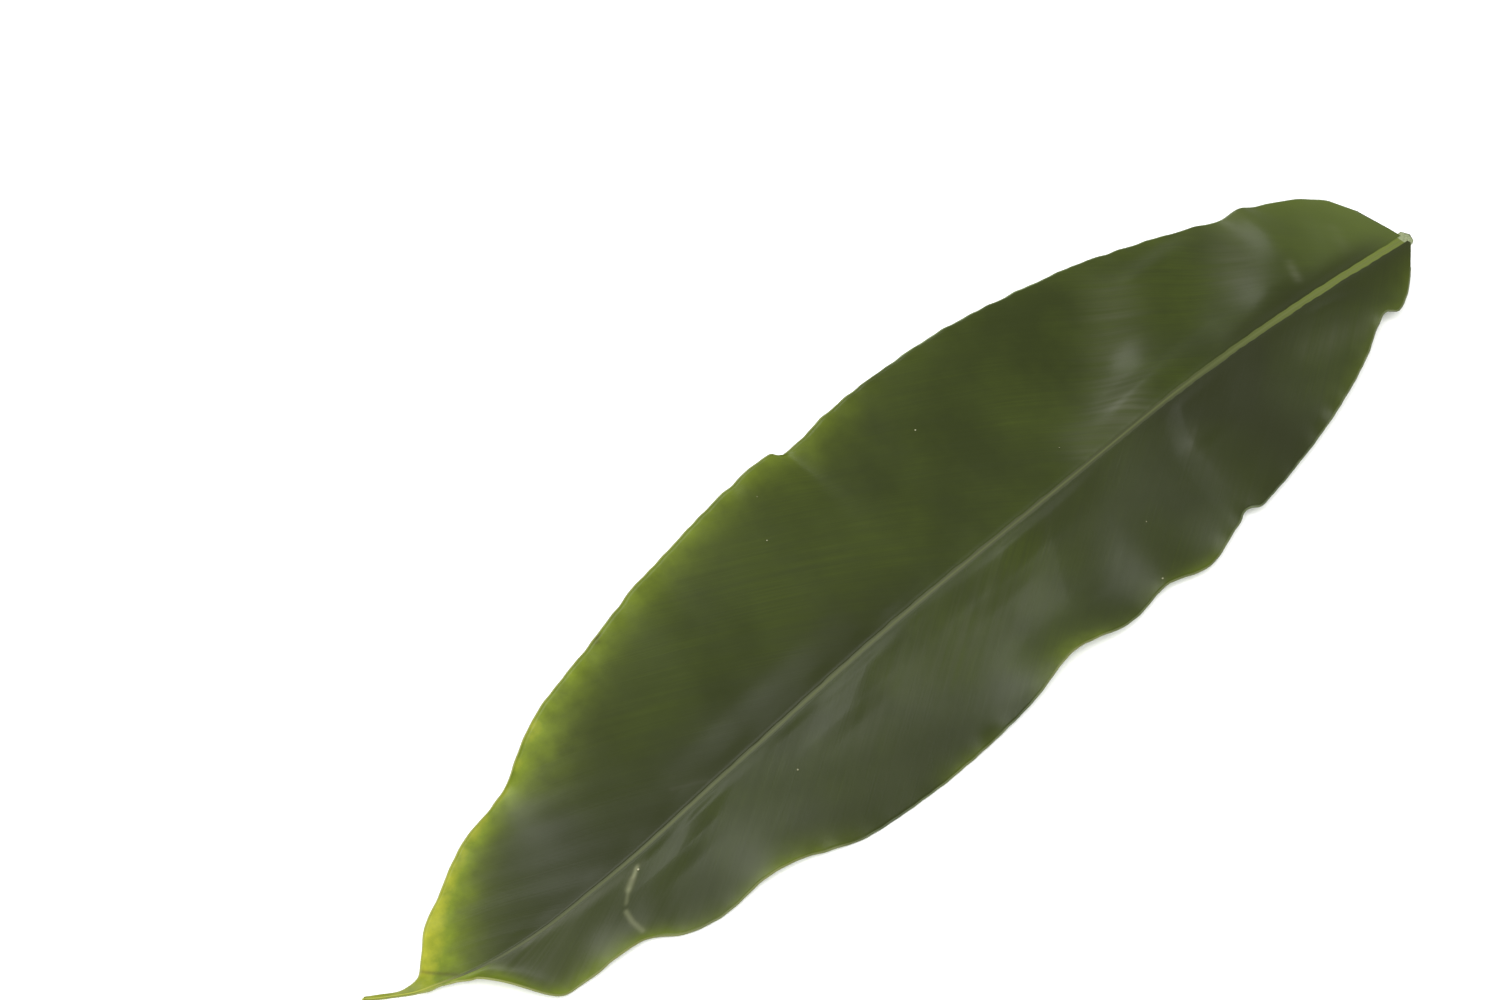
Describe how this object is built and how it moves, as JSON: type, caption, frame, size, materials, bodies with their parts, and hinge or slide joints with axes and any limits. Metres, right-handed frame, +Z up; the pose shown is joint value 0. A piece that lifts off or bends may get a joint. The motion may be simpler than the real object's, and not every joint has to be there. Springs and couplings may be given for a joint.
{
  "type": "cardamom leaf",
  "caption": "Long lance-shaped cardamom leaf lying on a table, with a sunken midrib, waved edges, small folds and a drawn-out curled tip.",
  "frame": {"origin": "centre of the leaf's box in plan, on the surface that the leaf lies on", "axes": "+X along the leaf from the cut end of the midrib to the tip, +Y to the left half as seen from the base, +Z up out of the upper side"},
  "size_m": [0.3575, 0.1002, 0.0127],
  "materials": {
    "leaf": "fresh deep green leaf, waxy and faintly glossy above and paler below, with a lime green midrib and yellow-green edges towards the tip"
  },
  "bodies": {
    "root": {"leaf": "leaf"}
  },
  "joints": []
}
